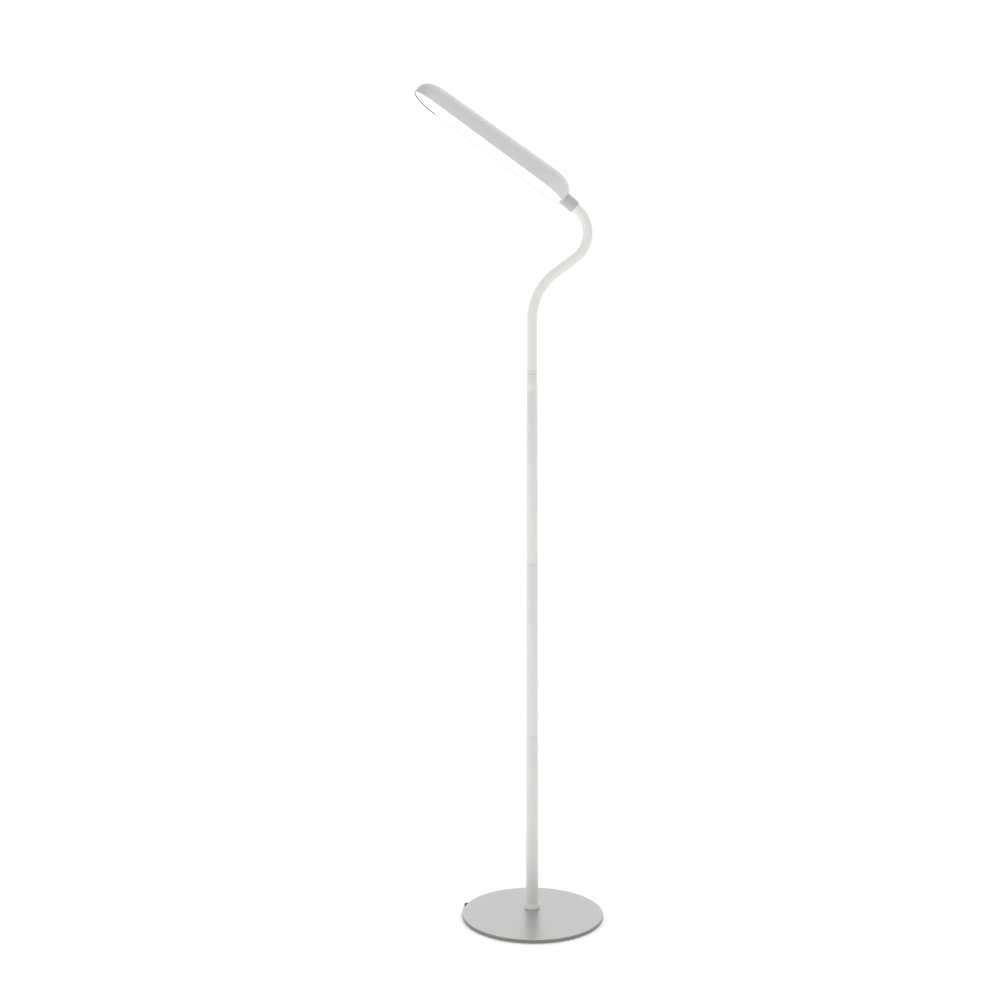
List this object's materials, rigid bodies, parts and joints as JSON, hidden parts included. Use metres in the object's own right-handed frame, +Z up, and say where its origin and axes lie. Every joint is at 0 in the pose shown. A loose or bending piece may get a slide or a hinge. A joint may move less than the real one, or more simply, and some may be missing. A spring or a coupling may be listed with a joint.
{
  "type": "adjustable arm floor lamp",
  "caption": "Slim floor lamp: flat silver-grey base disc, white tapered pole, smooth S-bent flexible neck and a long domed LED head with an opal underside.",
  "frame": {"origin": "middle of the flat underside of the base", "axes": "+Z up along the pole, +X to the viewer's right with the head reaching to -X, +Y to the back"},
  "size_m": [0.3243, 0.24, 1.4281],
  "materials": {
    "silver_paint": "satin silver-grey powder coat on steel",
    "white_paint": "satin white powder coat on steel",
    "neck_sleeve": "smooth white silicone sleeve over a coiled core",
    "white_abs": "fine-grained satin white ABS",
    "grey_abs": "satin light grey ABS",
    "black_rubber": "matt moulded",
    "foam": "closed-cell foam sheet",
    "zinc": "zinc plated",
    "tray_aluminium": "mill finish sheet",
    "opal_acrylic": "opal diffusing acrylic, lit from behind",
    "led_board_white": "white solder mask",
    "led_phosphor": "phosphor-coated LED packages, lit",
    "circuit_board": "green solder mask with fitted components",
    "lead_pvc": "white PVC insulation"
  },
  "bodies": {
    "stand": {"base_plate": "silver_paint", "base_screw_1": "zinc", "base_screw_2": "zinc", "foot_pad": "foam", "cord_gland": "black_rubber", "foot_insert": "zinc", "foot_collar": "white_paint", "pole_lower": "white_paint", "pole_middle": "white_paint", "pole_upper": "white_paint", "coupler_lower": "zinc", "coupler_upper": "zinc", "neck_ferrule": "white_paint", "neck_bead": "white_paint", "neck_link_0": "neck_sleeve", "supply_lead": "lead_pvc"},
    "link_1": {"neck_link_1": "neck_sleeve", "neck_lead_1": "lead_pvc"},
    "link_2": {"neck_link_2": "neck_sleeve", "neck_lead_2": "lead_pvc"},
    "link_3": {"neck_link_3": "neck_sleeve", "neck_lead_3": "lead_pvc"},
    "link_4": {"neck_link_4": "neck_sleeve", "neck_lead_4": "lead_pvc"},
    "link_5": {"neck_link_5": "neck_sleeve", "neck_lead_5": "lead_pvc"},
    "link_6": {"neck_link_6": "neck_sleeve", "neck_lead_6": "lead_pvc"},
    "link_7": {"neck_link_7": "neck_sleeve", "neck_lead_7": "lead_pvc"},
    "link_8": {"neck_link_8": "neck_sleeve", "neck_lead_8": "lead_pvc"},
    "head": {"neck_link_9": "neck_sleeve", "neck_collar": "grey_abs", "head_shell": "white_abs", "diffuser": "opal_acrylic", "led_tray": "tray_aluminium", "led_board": "led_board_white", "led_row_1": "led_phosphor", "led_row_2": "led_phosphor", "driver_board": "circuit_board", "neck_clamp": "zinc", "clamp_screw_1": "zinc", "clamp_screw_2": "zinc", "tray_screw_1": "zinc", "tray_screw_2": "zinc", "tray_screw_3": "zinc", "tray_screw_4": "zinc", "head_lead": "lead_pvc"}
  },
  "joints": [
    {"name": "neck_bend_1", "type": "hinge", "parent": "stand", "child": "link_1", "pos_m": [0, 0.022, 0.9583], "axis": [0, 1, 0], "range_deg": [-18, 12]},
    {"name": "neck_sway_2", "type": "hinge", "parent": "link_1", "child": "link_2", "pos_m": [0, 0.022, 0.99258], "axis": [1, 0, 0], "range_deg": [-15, 15]},
    {"name": "neck_bend_3", "type": "hinge", "parent": "link_2", "child": "link_3", "pos_m": [0.00012, 0.022, 1.02685], "axis": [0, 1, 0], "range_deg": [-18, 12]},
    {"name": "neck_bend_4", "type": "hinge", "parent": "link_3", "child": "link_4", "pos_m": [0.00747, 0.022, 1.06016], "axis": [0, 1, 0], "range_deg": [-18, 12]},
    {"name": "neck_sway_5", "type": "hinge", "parent": "link_4", "child": "link_5", "pos_m": [0.02548, 0.022, 1.08914], "axis": [0.7482, 0, -0.6634], "range_deg": [-15, 15]},
    {"name": "neck_bend_6", "type": "hinge", "parent": "link_5", "child": "link_6", "pos_m": [0.05158, 0.022, 1.11123], "axis": [0, 1, 0], "range_deg": [-20, 15]},
    {"name": "neck_bend_7", "type": "hinge", "parent": "link_6", "child": "link_7", "pos_m": [0.07884, 0.022, 1.13199], "axis": [0, 1, 0], "range_deg": [-20, 15]},
    {"name": "neck_sway_8", "type": "hinge", "parent": "link_7", "child": "link_8", "pos_m": [0.0951, 0.022, 1.16153], "axis": [0.982, 0, -0.1888], "range_deg": [-15, 15]},
    {"name": "neck_bend_9", "type": "hinge", "parent": "link_8", "child": "head", "pos_m": [0.09095, 0.022, 1.195], "axis": [0, 1, 0], "range_deg": [-20, 15]}
  ],
  "couplings": [
    {"joint": "neck_bend_3", "follows": "neck_bend_1", "ratio": 1},
    {"joint": "neck_bend_4", "follows": "neck_bend_1", "ratio": 1},
    {"joint": "neck_sway_5", "follows": "neck_sway_2", "ratio": 1},
    {"joint": "neck_bend_7", "follows": "neck_bend_6", "ratio": 1},
    {"joint": "neck_bend_9", "follows": "neck_bend_6", "ratio": 1}
  ]
}
